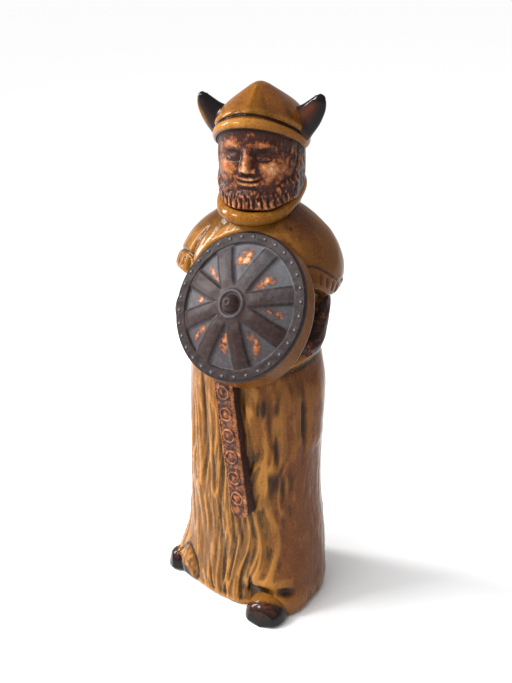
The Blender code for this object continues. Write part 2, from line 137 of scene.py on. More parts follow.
def gridNormals(points, around):
    # cross product of the differences along both directions of the grid
    if around:
        du = np.roll(points, -1, 1) - np.roll(points, 1, 1)
    else:
        du = np.gradient(points, axis=1)
    n = np.cross(du, np.gradient(points, axis=0))
    return n / np.maximum(np.linalg.norm(n, axis=2, keepdims=True), 1e-12)


def shifted(points, k, axis, wrap):
    # the grid moved k rows or columns along, wrapping round or holding its edge
    if wrap:
        return np.roll(points, k, axis)
    index = np.clip(np.arange(points.shape[axis]) - k, 0, points.shape[axis] - 1)
    return np.take(points, index, axis)


def reliefOf(points, around, steps):
    # height of each point over the mean of its neighbours, along the normal, averaged over the steps
    n = gridNormals(points, around)
    total = 0
    for k in steps:
        mean = (shifted(points, k, 1, around) + shifted(points, -k, 1, around)
                + shifted(points, k, 0, False) + shifted(points, -k, 0, False)) / 4
        total = total + np.sum((points - mean) * n, axis=2)
    return total / len(steps)


def nearPath(points, path):
    # distance from every grid point to the nearest of the path's points
    flat = points.reshape(-1, 3)
    best = np.full(len(flat), 1e9)
    for p in np.asarray(path, float):
        best = np.minimum(best, np.sum((flat - p) ** 2, axis=1))
    return np.sqrt(best).reshape(points.shape[:2])


def linked(name, data):
    # a new object with this data, linked to the scene
    thing = bpy.data.objects.new(name, data)
    bpy.context.scene.collection.objects.link(thing)
    return thing


def gridPiece(name, points, masks, closed=False):
    # quads between neighbouring rows; the rows join round, or each end gets a fan to its mean point
    rows, cols = points.shape[:2]
    verts = points.reshape(-1, 3)
    row = np.arange(rows if closed else rows - 1)[:, None]
    here, above = row * cols, (row + 1) % rows * cols
    c = np.arange(cols)[None, :]
    nextC = (c + 1) % cols
    quads = np.stack([here + c, here + nextC, above + nextC, above + c], axis=2).reshape(-1, 4)
    fans = np.zeros((0, 3), int)
    if not closed:
        c, nextC = c[0], nextC[0]
        last = (rows - 1) * cols
        fans = np.concatenate([np.stack([nextC, c, 0 * c + rows * cols], axis=1),
                               np.stack([last + c, last + nextC, 0 * c + rows * cols + 1], axis=1)])
        verts = np.concatenate([verts, points[0].mean(axis=0)[None], points[-1].mean(axis=0)[None]])
    v = verts - verts.mean(axis=0)
    turn = np.sum(np.cross(v[quads[:, 0]], v[quads[:, 1]]) * v[quads[:, 2]])
    turn += np.sum(np.cross(v[quads[:, 0]], v[quads[:, 2]]) * v[quads[:, 3]])
    if turn < 0:                        # turned so that every face points out
        quads, fans = quads[:, ::-1], fans[:, ::-1]
    loops = np.concatenate([quads.ravel(), fans.ravel()]).astype(np.int32)
    sizes = np.concatenate([np.full(len(quads), 4), np.full(len(fans), 3)]).astype(np.int32)
    mesh = bpy.data.meshes.new(name)
    mesh.vertices.add(len(verts))
    mesh.vertices.foreach_set("co", (verts * mm).astype(np.float32).ravel())
    mesh.loops.add(len(loops))
    mesh.loops.foreach_set("vertex_index", loops)
    mesh.polygons.add(len(sizes))
    mesh.polygons.foreach_set("loop_start", (np.cumsum(sizes) - sizes).astype(np.int32))
    mesh.update(calc_edges=True)
    mesh.validate()
    for key, mask in masks.items():
        grid = np.broadcast_to(mask, (rows, cols))
        value = grid.reshape(-1)
        if not closed:
            value = np.concatenate([value, [grid[0].mean(), grid[-1].mean()]])
        mesh.attributes.new(key, "FLOAT", "POINT").data.foreach_set("value", value.astype(np.float32))
    mesh.shade_smooth()
    mesh.materials.append(stoneware)
    piece = linked(name, mesh)
    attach(piece, "root")
    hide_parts("viking_figure")
    print("made", name, 2 * len(quads) + len(fans), "triangles")
    return piece


# Glaze, stain and bare clay

# each noise is its scale, detail, roughness and stretch
glazeLook = {
    # the ridge colour is also painted as light over the shaded upper chest and as the glint on the right horn
    "ridge": (0.375, 0.16, 0.03),         # thin glaze over an edge
    "amber": (0.188, 0.068, 0.006),
    "gold": (0.17, 0.073, 0.016),         # front of the robe
    # reddish brown painted as shade on the sides turned from the lights
    "shadedFlankRed": (0.128, 0.038, 0.01),
    "brown": (0.05, 0.014, 0.002),        # clouds of thicker glaze
    # dark glaze where it pools, also painted as shade where parts meet, under the collar and on the left
    # sleeve
    "pool_and_shade": (0.01, 0.004, 0.002),
    "groove": (0.042, 0.021, 0.005),
    "noise": {"cloud": (75, 5, 0.62), "streak": (210, 3, 0.6, (1, 1, 0.16)),
              "speck": (1500, 2, 0.75), "grain": (620, 3, 0.7)},
    "liftSwing": {"cloud": 0.35, "streak": 0.55, "grain": 0.7},
    "cloudSwing": {"grain": 0.4},
}
clayLook = {
    "stain": (0.028, 0.0165, 0.0155),
    "stainBrown": (0.04, 0.012, 0.008),
    # pale grey patina; on the shield it also paints the top's sheen and the glints of studs and boss ring
    "pale": (0.135, 0.142, 0.158),
    "bare": (0.31, 0.1, 0.032),
    "tan": (0.5, 0.29, 0.15),
    "crevice": (0.008, 0.005, 0.005),
    "noise": {"cloud": (190, 4, 0.66), "patch": (520, 3, 0.6), "grain": (1300, 3, 0.7)},
    "dustAndSheenSwing": {"grain": 0.45, "patch": 0.45},
    "rubSwing": {"cloud": 1.9, "patch": 1.4, "grain": 0.6},
}
blackLook = {
    "black": (0.004, 0.003, 0.003),
    "brown": (0.085, 0.026, 0.012),
}
castLook = {
    "noise": {"soft": (160, 3, 0.5), "fine": (1100, 3, 0.7)},
    "specular": 0.14, "coat": 0.22, "coatRoughness": 0.1, "bumpDistance": 0.0006, "bumpStrength": 0.35,
}
# the pool mask carries both pooled glaze and painted shade
maskNames = ("relief", "pool_and_shade", "flank", "gold", "bare", "dark", "worn", "warm", "pale", "sheen")


def setOrLink(tree, socket, value):
    # a number or colour is set on the socket, an output is linked to it
    if isinstance(value, tuple):
        socket.default_value = (*value, 1)
    elif isinstance(value, (int, float)):
        socket.default_value = value
    else:
        tree.links.new(value, socket)


def mixColour(tree, factor, a, b):
    # a where factor is 0, b where it is 1
    node = tree.nodes.new("ShaderNodeMix")
    node.data_type = "RGBA"
    for k, value in ((0, factor), (6, a), (7, b)):
        setOrLink(tree, node.inputs[k], value)
    return node.outputs[2]


def layered(tree, look, base, layers):
    # the base colour, with each layer's colour mixed over it by the layer's factor
    tone = look[base]
    for factor, name in layers:
        tone = mixColour(tree, factor, tone, look[name])
    return tone


def mathNode(tree, kind, a, b):
    # a and b joined by the operation of that kind
    node = tree.nodes.new("ShaderNodeMath")
    node.operation = kind
    setOrLink(tree, node.inputs[0], a)
    setOrLink(tree, node.inputs[1], b)
    return node.outputs[0]


def plus(tree, a, b):
    # a + b
    return mathNode(tree, "ADD", a, b)


def minus(tree, a, b):
    # a - b
    return mathNode(tree, "SUBTRACT", a, b)


def times(tree, a, b):
    # a * b
    return mathNode(tree, "MULTIPLY", a, b)


def between(tree, value, low, high):
    # value stretched so that low gives 0 and high gives 1, eased and held there
    node = tree.nodes.new("ShaderNodeMapRange")
    node.interpolation_type = "SMOOTHSTEP"
    tree.links.new(value, node.inputs["Value"])
    node.inputs["From Min"].default_value = low
    node.inputs["From Max"].default_value = high
    return node.outputs["Result"]


def swung(tree, base, noise, swings):
    # base + (noise - 0.5) * size for every noise that is named in swings
    for name, size in swings.items():
        base = plus(tree, base, times(tree, minus(tree, noise[name], 0.5), size))
    return base


def noiseAt(tree, where, scale, detail, roughness, stretch=None):
    # fractal noise around 0.5, read at the place times the stretch
    node = tree.nodes.new("ShaderNodeTexNoise")
    for label, value in (("Scale", scale), ("Detail", detail), ("Roughness", roughness)):
        node.inputs[label].default_value = value
    if stretch:
        mapping = tree.nodes.new("ShaderNodeMapping")
        mapping.inputs["Scale"].default_value = stretch
        tree.links.new(where, mapping.inputs["Vector"])
        where = mapping.outputs["Vector"]
    tree.links.new(where, node.inputs["Vector"])
    return node.outputs["Fac"]


def newGroup(name, inputs, noises, outputs=(("Color", "Color"), ("Roughness", "Float"))):
    # a group with a number for every input name, its outputs, and its noises read at the object's own place
    group = bpy.data.node_groups.new(name, "ShaderNodeTree")
    for label in inputs:
        group.interface.new_socket(name=label, in_out="INPUT", socket_type="NodeSocketFloat")
    for label, kind in outputs:
        group.interface.new_socket(name=label, in_out="OUTPUT", socket_type="NodeSocket" + kind)
    where = group.nodes.new("ShaderNodeTexCoord").outputs["Object"]
    noise = {label: noiseAt(group, where, *numbers) for label, numbers in noises.items()}
    return group, group.nodes.new("NodeGroupInput").outputs, group.nodes.new("NodeGroupOutput").inputs, noise


def makeGlazeTone():
    # thin and light on ridges, brown in clouds, dark where glaze pools and where shade is painted; Flank
    # turns it reddish brown as painted shade and dims the ridges; finely speckled all over
    names = ("Relief", "Pool_and_shade", "Flank", "Gold")
    group, given, result, noise = newGroup("glazeTone", names, glazeLook["noise"])
    lift = swung(group, given["Relief"], noise, glazeLook["liftSwing"])
    thick = minus(group, 0.75, times(group, given["Gold"], 0.55))
    thick = minus(group, thick, times(group, given["Flank"], 0.45))
    clouds = between(group, swung(group, noise["cloud"], noise, glazeLook["cloudSwing"]), 0.48, 0.7)
    edge = minus(group, 1, times(group, given["Flank"], 0.68))
    tone = layered(group, glazeLook, "amber", [
        (given["Gold"], "gold"), (given["Flank"], "shadedFlankRed"), (times(group, clouds, thick), "brown"),
        (times(group, between(group, lift, 0.06, 0.58), edge), "ridge"),
        (between(group, times(group, lift, -1), 0.05, 0.5), "groove"),
        (times(group, between(group, noise["speck"], 0.54, 0.7), 0.55), "brown"),
        (times(group, between(group, noise["speck"], 0.45, 0.31), 0.38), "ridge"), (given["Pool_and_shade"], "pool_and_shade")])
    group.links.new(tone, result["Color"])
    group.links.new(plus(group, times(group, noise["cloud"], 0.1), 0.1), result["Roughness"])
    return group


def makeStainedClay():
    # dark oxide stain, rubbed through to orange clay where Worn and the clouds are both high
    names = ("Relief", "Worn", "Warm", "Pale")
    group, given, result, noise = newGroup("stainedClay", names, clayLook["noise"])
    rub = swung(group, given["Worn"], noise, clayLook["rubSwing"])
    hollow = between(group, times(group, given["Relief"], -1), 0.03, 0.34)
    tone = layered(group, clayLook, "stain", [
        (given["Warm"], "stainBrown"), (swung(group, given["Pale"], noise, clayLook["dustAndSheenSwing"]), "pale"),
        (between(group, rub, 0.22, 0.92), "bare"), (between(group, rub, 0.84, 1.4), "tan"),
        (times(group, hollow, 0.8), "crevice")])
    group.links.new(tone, result["Color"])
    group.links.new(plus(group, times(group, noise["grain"], 0.25), 0.38), result["Roughness"])
    return group


def makeCastGrain():
    # pinholes and brush grain of a cast surface: 0.6 of the soft noise and, where bare, 0.6 of the fine one
    group, given, result, noise = newGroup("castGrain", ("Bare",), castLook["noise"], (("Height", "Float"),))
    fine = times(group, noise["fine"], given["Bare"])
    height = plus(group, times(group, noise["soft"], 0.6), times(group, fine, 0.6))
    group.links.new(height, result["Height"])
    return group


def makeStoneware():
    # glaze where bare is 0, stained clay where it is 1, black gloss over both where dark is 1
    material = bpy.data.materials.new("glazedStoneware")
    material.use_nodes = True
    tree = material.node_tree
    shader = tree.nodes["Principled BSDF"].inputs
    shader["Specular IOR Level"].default_value = castLook["specular"]
    shader["Coat Roughness"].default_value = castLook["coatRoughness"]
    mask = {}
    for name in maskNames:
        node = tree.nodes.new("ShaderNodeAttribute")
        node.attribute_name = name
        mask[name] = node.outputs["Fac"]

    def use(group):
        # the group as a node, every input linked to the mask of its name
        node = tree.nodes.new("ShaderNodeGroup")
        node.node_tree = group
        for socket in node.inputs:
            tree.links.new(mask[socket.name.lower()], socket)
        return node.outputs

    glaze, clay, grain = use(makeGlazeTone()), use(makeStainedClay()), use(makeCastGrain())
    tone = mixColour(tree, mask["bare"], glaze["Color"], clay["Color"])
    black = mixColour(tree, mask["worn"], blackLook["black"], blackLook["brown"])
    tree.links.new(mixColour(tree, mask["dark"], tone, black), shader["Base Color"])
    rough = tree.nodes.new("ShaderNodeMix")
    clayRough = minus(tree, clay["Roughness"], times(tree, mask["sheen"], 0.2))
    for k, value in ((0, mask["bare"]), (2, glaze["Roughness"]), (3, clayRough)):
        tree.links.new(value, rough.inputs[k])
    surface = plus(tree, rough.outputs[0], times(tree, mask["dark"], 0.07))
    tree.links.new(surface, shader["Roughness"])
    tree.links.new(times(tree, mask["dark"], castLook["coat"]), shader["Coat Weight"])
    bump = tree.nodes.new("ShaderNodeBump")
    bump.inputs["Distance"].default_value = castLook["bumpDistance"]
    bump.inputs["Strength"].default_value = castLook["bumpStrength"]
    tree.links.new(grain["Height"], bump.inputs["Height"])
    tree.links.new(bump.outputs["Normal"], shader["Normal"])
    return material


stoneware = makeStoneware()
print("materials ready")


# Robe, tunic and sleeves

bodyShape = {
    "columns": 400, "foldDepth": 1.25, "sleeveRise": 4.6,
    "girth": 38,         # mean radius, turns an angle into a length across the robe
    "vampTurn": -46,     # middle of the far foot, in degrees
    "collarPit": (24.7, -6.3, 230.1),
    # first height, last height and count of each run of rings
    "rings": [(0, 6, 10), (7, 150, 140), (151, 165, 20), (166.5, 180, 9), (181, 204, 50), (205, 240, 28)],
    # height, half width, half depth, centre x, centre y
    "sections": np.array([
        (0, 40.5, 31, -5, 12), (1.5, 42, 32.6, -5, 12), (6, 43, 33.6, -5, 12),
        (20, 42, 33.2, -4, 11), (35, 41, 32.6, -3, 9.5), (50, 40, 32, -2, 7.5),
        (70, 38.2, 31.4, -1.3, 5), (93, 37.8, 30.4, -0.5, 3), (116, 38.2, 29.8, 0, 2.4),
        (147, 37.6, 29.4, 0, 2), (156, 35.6, 28.8, 0, 2), (162, 33.6, 28.2, 0, 2),
        (175, 34, 28.2, 0, 2), (190, 37.4, 29, 0, 2.2), (203, 39.8, 29.4, 0, 2.8),
        (212, 38.6, 28.6, 0, 4), (220, 35.6, 27, 0, 5.2), (226, 31.8, 24.4, 0, 6.2),
        (231, 26.6, 21.4, 0, 6.4), (236, 20, 18, 0, 5), (240, 14, 13, 0, 3),
    ]),
    # slits and pockets: turn in degrees, middle height, half length, half width, depth
    "slits": [(-29, 126, 19, 1.2, 1.5), (54, 110, 11, 1.8, 1.5), (76.5, 126, 18, 1.4, 1.5),
              (48, 128, 11, 1.9, 0.8), (31, 19, 6, 1.7, 2), (43, 17, 2.6, 3.6, 1.8), (58, 17, 3.2, 4, 2.4),
              (-36, 17, 6, 1.6, 0.8), (60, 86, 9, 1.4, 0.9), (-13, 95, 16, 1.2, 0.8), (20, 60, 18, 1.6, 0.9)],
    # hem drawn over the feet and its pockets: rise, turn, width, height where it ends, where it is full
    "drapes": [(6.4, 57, 21, 52, 6), (6, -66, 20, 44, 8), (-5, 36, 11, 21, 13),
               (-3.5, -70, 9, 12, 7)],
}

# black toe caps: a point of the seam, the direction into the cap and how far from the seam it reaches
capShape = {
    1: {"seam": (27.6, -23.4, 12.9), "toward": (0.33, -0.756, -0.56), "reach": 21},
    -1: {"seam": (-44, -13.4, 11), "toward": (-0.55, -0.53, -0.64), "reach": 21},
}


def foldFlow(theta, z):
    # turn at which a fold line that passes here leaves the waist: lines draw together low in front
    signed = turnedGap(theta, 5)
    low = held((112 - z) / 112)
    return signed * (1 + 0.55 * low * bell(signed, radians(36))) + 0.05 * np.sin(z / 17 + 3 * theta) * low


def foldCarving(theta, z):
    # three noises stretched along the fold lines: what is low is sunk, what is near one level rises as a
    # crest; times 1 in front, less on the left side and a third behind, easing out at the waist
    turns = foldFlow(theta, z) / (2 * pi)
    wide = valueNoise(52 * turns + 0.4 * np.sin(z / 15), z / 54 + 3, 21, 52)
    narrow = valueNoise(94 * turns + 0.6 * np.sin(z / 10), z / 29 + 7, 22, 94)
    fine = valueNoise(150 * turns, z / 9 + 11, 23, 150)
    hollow = 0.95 * held(0.1 - wide) ** 1.2 + 0.55 * held(-narrow) ** 1.2
    hollow = hollow + 0.18 * held(-fine)
    crest = 0.46 * bell(narrow - 0.1, 0.22) + 0.16 * bell(wide - 0.3, 0.14)
    signed = turnedGap(theta)
    waist = ramp(30, 75, z)
    leftEdge = ramp(radians(64) + 0.24 * waist, radians(48) + 0.14 * waist, signed)
    share = 0.14 + 0.86 * leftEdge * turnRamp(-112, -80, signed) + 0.35 * turnBell(theta, 180, 55)
    height = ramp(154, 122, z) * (0.65 + 0.35 * ramp(120, 60, z)) * ramp(0, 7, z)
    return (crest - hollow) * share * height


def sleeveHem(theta):
    # height of the cuff's lower edge: low behind the elbow, climbing steeply toward the front
    signed = turnedGap(theta)
    left = 13 * turnRamp(108, 68, signed) * (signed > 0)
    right = 10 * turnRamp(-98, -46, signed) * (signed <= 0)
    return 190 + (left + right) * turnRamp(20, 45, np.abs(signed))


def sleeveForm(theta, z):
    # swell with a rolled hem, a groove arched over the cuff and short upright flutes between them
    signed = turnedGap(theta)
    side = np.abs(np.abs(signed) - radians(80))
    behind = turnRamp(88, 108, np.abs(signed))
    over = z - sleeveHem(theta)
    swell = ramp(-1.3, 1.5 + 7 * behind, over) * ramp(236, 206, z)
    groove = -0.22 * bell(over - 11.3, 0.8) + 0.08 * span(over, 11.6, 10.4, -1, 2)
    few = np.where(signed > 0, turnRamp(73, 79, signed), 1) * (1 - 0.7 * behind)
    flutes = -0.2 * few * held(np.cos(56 * theta)) ** 1.4 * span(over, 9.8, 8.2, 2.4, 5)
    flare = 0.35 * turnBell(theta, -62, 24) * bell(over - 3, 6)
    return turnRamp(78, 48, side) * (swell + groove + flutes + flare)


def drapeForm(theta, z):
    # bloused tunic, hip lobe over a slit, the drapes of the hem and the step beside the arms
    signed = turnedGap(theta)
    hem = 153.5 + 7.5 * turnRamp(20, 100, signed)
    blouse = turnRamp(-40, -8, signed) * turnRamp(118, 88, signed) * ramp(hem - 2.4, hem + 2.4, z)
    form = 3.8 * blouse * ramp(192, 162, z)
    form = form + 1.9 * turnBell(theta, 92, 15) * span(z, 98, 114, 156, 138)
    form = form - 0.25 * turnBell(theta, 96, 9) * bell(z - 105, 3.4)
    for rise, turn, width, ends, full in bodyShape["drapes"]:
        form = form + rise * turnBell(theta, turn, width) * ramp(ends, full, z)
    arm = np.abs(turnedGap(theta, -3))
    step = 0.9 * turnRamp(36, 41, arm) - 0.5 * bell(np.degrees(arm) - 36.5, 1.8)
    return form + step * span(z, 194, 204, 231, 219) * turnRamp(150, 110, np.abs(signed))


def slitPlaces(theta, z):
    # for each slit its offsets across and along, leaning a little, and its length, width and depth
    return [(turnedGap(theta, turn) * bodyShape["girth"] + 0.06 * (z - middle), z - middle, *sizes)
            for turn, middle, *sizes in bodyShape["slits"]]


def slitCarving(theta, z):
    # minus depth times a bell across and a bell along, for every slit
    return -sum(depth * bell(across, width) * bell(along, length)
                for across, along, length, width, depth in slitPlaces(theta, z))


def farVamp(theta, z):
    # distance from the middle of the drop-shaped vamp over the far foot: 1 on its outline
    point = held((z - 12) / 13)
    across = turnedGap(theta, bodyShape["vampTurn"]) * bodyShape["girth"]
    return np.hypot(across / (8.8 * (1 - 0.55 * point)), (z - 11.5) / 13)


def pastSeam(points, side):
    # distance from the cap's cutting plane, above 0 on the toe side
    return (points - np.array(capShape[side]["seam"])) @ np.array(capShape[side]["toward"])


def toeCap(points, side):
    # 1 past the cutting plane and within reach of the seam, on robe and shoe alike
    reach = capShape[side]["reach"]
    away = np.linalg.norm(points - np.array(capShape[side]["seam"]), axis=-1)
    return ramp(-0.25, 0.25, pastSeam(points, side)) * ramp(reach + 1, reach, away)


def behindShield(x, y, z):
    # how far the chest is pressed in so that it stays behind the shield's face
    s = shieldShape
    dx, dy, dz = x - s["centre"][0], y - s["centre"][1], z - s["centre"][2]
    height = -dy * cos(s["tilt"]) + dz * sin(s["tilt"])
    up = dy * sin(s["tilt"]) + dz * cos(s["tilt"])
    inside = ramp(s["radius"] + 1, s["radius"] - 2.5, np.hypot(dx, up))
    return np.clip(height + 5, 0, 12) * inside * 1.15


def bodyPool(points, theta, z, vamp, onVamp):
    # the largest of: bells beside what touches the robe (pooled glaze, and painted shade where the parts
    # meet), in the ragged
    # # slits and round the vamp, a mottle where noise is high, painted shade on the left sleeve, a darker
    # right sleeve and the foot's edge
    # bells beside collar, scabbard, shield and collar pit: pooled glaze and painted shade in the joins
    touching = ((collarPath(), 2.6, 1.8, 0.9), (scabbardEdge(), 0, 2.2, 0.8), (shieldBack(), 0, 2.6, 0.85),
                ([bodyShape["collarPit"]], 0, 1.5, 0.9))
    pools = [depth * bell(nearPath(points, path) - gap, width) for path, gap, width, depth in touching]
    for across, along, length, width, depth in slitPlaces(theta, z):
        ragged = 1 + 0.35 * valueNoise(across / 2 + 30, z / 3, 53)
        spot = bell(across, 1.05 * width * ragged) * bell(along, length * ragged)
        pools.append(min(0.9, 0.55 * depth) * spot)
    mottle = valueNoise(60 * theta / (2 * pi) + 0.12 * np.sin(z / 5), z / 15 + 5, 51, 60)
    mottle = 0.95 * ramp(0.15, 0.8, mottle) * turnBell(theta, 44, 27) * span(z, 64, 92, 158, 146)
    signed = turnedGap(theta)
    # painted shade: the left sleeve, turned from the lights, is darkened; the right sleeve gets a darker tone
    shadedLeftSleeve = 0.34 * turnRamp(48, 62, signed) * turnRamp(110, 96, signed) * ramp(184, 196, z)
    rightSleeve = 0.42 * turnBell(theta, -58, 46) * ramp(186, 200, z)
    return most(*pools, 0.75 * bell(vamp - 1.04, 0.1) * onVamp, mottle, shadedLeftSleeve, rightSleeve,
                0.6 * ramp(1.2, 0.2, z))


def makeBody():
    # rings about an upright axis, following the slanting hem near the cuffs; the radius is the oval of
    # the section plus all carvings, less what the shield presses in
    theta = fullTurn(bodyShape["columns"])[None, :]
    turns = theta / (2 * pi)
    levels = np.concatenate([np.linspace(*run) for run in bodyShape["rings"]])[:, None]
    z = levels + (sleeveHem(theta) - 190) * span(levels, 160, 186, 236, 204)
    wide, deep, x, y = (through(bodyShape["sections"], k, z) for k in (1, 2, 3, 4))
    radius = ovalRadius(theta, wide, deep, 2.4) + drapeForm(theta, z) + slitCarving(theta, z)
    radius = radius + bodyShape["foldDepth"] * foldCarving(theta, z)
    radius = radius + bodyShape["sleeveRise"] * sleeveForm(theta, z)
    vamp = farVamp(theta, z)
    onVamp = np.abs(turnedGap(theta, bodyShape["vampTurn"])) < 0.6
    radius = radius + 0.9 * ramp(1, 0.55, vamp) - bell(vamp - 1.04, 0.09)
    radius = radius + 0.16 * valueNoise(54 * turns, z / 7, 3, 54)
    radius = radius + 0.05 * valueNoise(140 * turns, z / 2.6, 4, 140)
    radius = radius - behindShield(x + radius * np.sin(theta), y - radius * np.cos(theta), z)
    points = np.stack([x + radius * np.sin(theta), y - radius * np.cos(theta), z], axis=2)
    pool_and_shade = bodyPool(points, theta, z, vamp, onVamp)
    signed = turnedGap(theta)
    blotches = valueNoise(66 * turns + 0.5 * np.sin(z / 6), z / 10 + 2 + 0.7 * np.sin(23 * theta), 55, 66)
    blotches = (0.75 * blotches + 0.2) * turnBell(theta, 42, 30) * span(z, 60, 90, 160, 148)
    # painted light: the upper right chest, shaded by the head, is lifted toward the pale ridge colour
    chestPaintedLight = 0.75 * turnBell(theta, 32, 28) * ramp(204, 214, z)
    rough = 0.9 * ramp(1, 0.7, vamp) * onVamp * valueNoise(40 * theta, z / 2.6, 54)
    relief = reliefOf(points, True, (3, 6)) * 1.5 * (1 - 0.7 * ramp(1.1, 0.9, vamp))
    relief = relief + chestPaintedLight + blotches + rough
    # flank is painted shade: reddish brown on the sides and the left sleeve turned from the lights, kept off
    # the upper chest
    sides = held(turnRamp(41, 62, signed) + turnRamp(-96, -120, signed)) * ramp(176, 150, z)
    shoulder = ramp(204, 218, z) * ramp(1.25, 0.9, signed)
    sleeve = turnRamp(30, 52, signed) * ramp(150, 165, z) * (1 - 0.8 * shoulder)
    flank = most(sides, sleeve, 0.72 * turnRamp(28, 44, signed) * ramp(92, 124, z))
    dark = most(toeCap(points, 1), toeCap(points, -1)) * ramp(22, 16, z)
    gold = most(turnBell(theta, 8, 48) * ramp(124, 88, z), turnBell(theta, 4, 42) * ramp(212, 222, z))
    masks = {"relief": relief, "pool_and_shade": pool_and_shade, "flank": flank, "gold": gold, "dark": dark,
             "worn": 0.5 * dark * ramp(6, 10, z)}
    return gridPiece("robe_and_tunic", points, masks)


# Head and helmet

headShape = {
    "frontColumns": 290, "backColumns": 80, "skinRows": 175, "bandRows": 44, "domeRows": 46,
    "foot": 227, "bandHeight": 7, "top": 299.7,
    # height, half width, front depth, back depth
    "skin": np.array([
        (227, 12, 12, 14), (233, 15.6, 17.4, 18), (238, 18.8, 21.4, 20.5), (244, 20.4, 22.6, 22.5),
        (251, 21.2, 22.8, 24), (259, 21.6, 22.8, 25), (267, 21.6, 22.6, 25.2), (276, 21.4, 22.6, 25),
    ]),
    # height, half width
    "dome": np.array([
        (266, 22.6), (277, 22.6), (281, 22.3), (284.5, 21.2), (288, 18.6),
        (291, 15.2), (294, 11), (297, 6.6), (299, 3.4), (299.8, 1.4),
    ]),
    # face, the same on both sides: rise, turn in degrees, its width, height, its width
    "face": [
        (0.25, 0, 10, 274.5, 3.5),                                # between the brows
        (-1.9, 20, 10, 267.4, 3.3), (-0.5, 10, 3.6, 267.6, 3),    # eye sockets
        (1.5, 21, 7.5, 266.4, 2.3),                               # eyes
        (0.6, 0, 5, 260.9, 1.9),                                  # tip of the nose
        (1.35, 8.4, 3, 259.9, 1.7), (-0.5, 4.2, 1.8, 258.1, 0.6), # sides of the nose
        (1.3, 32, 13, 260.4, 4.6), (0.5, 27, 16, 252.5, 4),       # cheeks
        (-0.25, 0, 2.4, 256.8, 0.9),                              # hollow over the lip
        (0.8, 0, 14, 247.8, 2.6), (-0.35, 0, 13, 251, 0.9),       # chin
        (-0.5, 52, 9, 268, 6),                                    # temples
    ],
    # where the stain is rubbed off, in the same columns
    "rubbed": [(0.4, 31, 15, 260.5, 5), (0.2, 0, 12, 262, 6), (0.25, 14, 9, 272.4, 1.8),
               (-0.42, 20, 11, 267, 3.6)],
}


def bandLow(phi):
    # lower edge of the brow band: arched over the face and low at the sides
    return 267 + 13.8 * held(np.cos(phi)) ** 1.15


def faceForm(phi, z):
    # a calm, regular face: the listed bumps, with brows, eyelids, nose bridge, lips and cheek folds as
    # bells along curves, fading toward the ears, and noise for the hair
    signed = np.degrees(phi)
    p = np.abs(signed)
    brow = 0.95 * bell(p - 21, 14) * bell(z - 272.2 + 1.7 * ((p - 20) / 18) ** 2, 2)
    lens = np.sqrt(held(1 - ((p - 21) / 10.5) ** 2))
    lids = 0.42 * bell(z - 265.4 + 1.1 * lens, 0.45) + 0.16 * bell(z - 268 - 1.2 * lens, 0.6)
    fall = ramp(274, 260.6, z)
    bridge = (1.4 + 3.3 * fall) * np.exp(-np.abs(signed / (4.4 + 2.6 * fall)) ** 2.1)
    nose = bridge * span(z, 257.2, 260.6, 275.5, 266.5)
    fold = -0.2 * bell(p - 15.5 - (259.5 - z), 3.4) * span(z, 252.5, 255, 261, 258.5)
    line = z - 254.1 - 0.9 * (np.clip(p, 0, 15) / 15) ** 2
    lips = (0.55 + 0.25 * bell(p - 4.5, 3.2)) * bell(line - 1.2, 0.9) + 0.75 * bell(line + 1.35, 1.1)
    lips = ramp(17, 8, p) * lips - 0.65 * ramp(18, 12, p) * bell(line, 0.5)
    hair = 0.45 * valueNoise(signed / 3.4 + 40, z / 3.4, 36) * span(p, 50, 60, 112, 96) * ramp(246, 250, z)
    features = bumps(headShape["face"], p, z) + brow - lids * ramp(0, 0.5, lens) + nose + fold + lips
    return ramp(78, 60, p) * features + hair


def beardEdges(p):
    # upper and lower edge of the beard: a fringe along the jaw, climbing to the temples
    return 249 + 6.5 * ramp(18, 64, p), 240.5 + 3.6 * ramp(18, 66, p)


def beardForm(phi, z):
    # soft body along the jaw with curls, ending below in upright locks: round ribs with deep gaps
    signed = np.degrees(phi)
    p = np.abs(signed)
    top, low = beardEdges(p)
    inside = span(z, low - 1, low + 1, top + 1.2, top - 1.2)
    body = 1.15 * span(z, top + 1.6, top - 2.4, low - 2.6, low + 0.6)
    lean = signed * (1 + 0.01 * (z - low)) + 1.8 * valueNoise(signed / 6 + 20, z / 3, 31)
    rib = np.abs(np.sin(np.radians(lean) * 21.5)) ** 0.8
    reach = low + 5.4 + 1.2 * np.sin(signed * 0.9) - 1.6 * ramp(26, 48, p)
    length = span(z, low - 0.9, low + 0.7, reach + 1.4, reach - 1.4) * ramp(54, 40, p)
    locks = (1.15 * rib - 0.6) * length
    curls = 0.5 * valueNoise(lean / 3.2 + 30, z / 1.9 + 8, 33) * inside * (1 - 0.8 * length)
    tuck = -1.6 * span(z, low - 0.4, low - 2.2, 232, 236)
    return ramp(82, 64, p) * (body + locks + curls + tuck)


def headPlace(phi, radius, z):
    # head frame to figure frame: leaned about the facing axis, then turned about the upright
    side = radius * np.sin(phi)
    back = -radius * np.cos(phi)
    rise = z - 255
    leaned = side * cos(headTilt) - rise * sin(headTilt)
    high = 255 + side * sin(headTilt) + rise * cos(headTilt)
    x = 0.9 + leaned * cos(headTurn) - back * sin(headTurn)
    y = 1 + leaned * sin(headTurn) + back * cos(headTurn)
    return np.stack([x, y, high + 0 * x], axis=-1)


def headSkin(phi, z):
    # the oval of the section, with its own depth in front and behind, plus face and beard
    s = headShape["skin"]
    deep = np.where(np.cos(phi) > 0, through(s, 2, z), through(s, 3, z))
    return ovalRadius(phi, through(s, 1, z), deep, 2.2) + faceForm(phi, z) + beardForm(phi, z)


